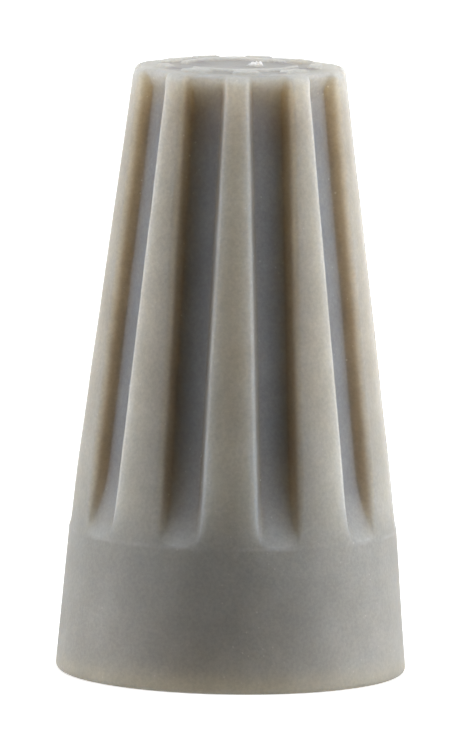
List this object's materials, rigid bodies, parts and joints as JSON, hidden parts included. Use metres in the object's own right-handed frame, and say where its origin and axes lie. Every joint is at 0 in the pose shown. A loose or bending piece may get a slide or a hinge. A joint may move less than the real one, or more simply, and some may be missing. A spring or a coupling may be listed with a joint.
{
  "type": "twist wire connector",
  "caption": "Tapered twist-on wire connector with vertical grip ribs and a plain open skirt, holding a conical square-wire spring that grips twisted wires.",
  "frame": {"origin": "centre of the open skirt's rim, in the plane that it stands on", "axes": "+Z along the cap's axis from the open rim to the closed end; -Y towards the side where a rib faces forwards; +X to the right of that side"},
  "size_m": [0.0086, 0.0086, 0.015],
  "materials": {
    "cap_plastic": "warm grey moulded thermoplastic, satin and finely textured",
    "spring_steel": "zinc-plated drawn square wire"
  },
  "bodies": {
    "root": {"cap_shell": "cap_plastic", "grip_spring": "spring_steel"}
  },
  "joints": []
}
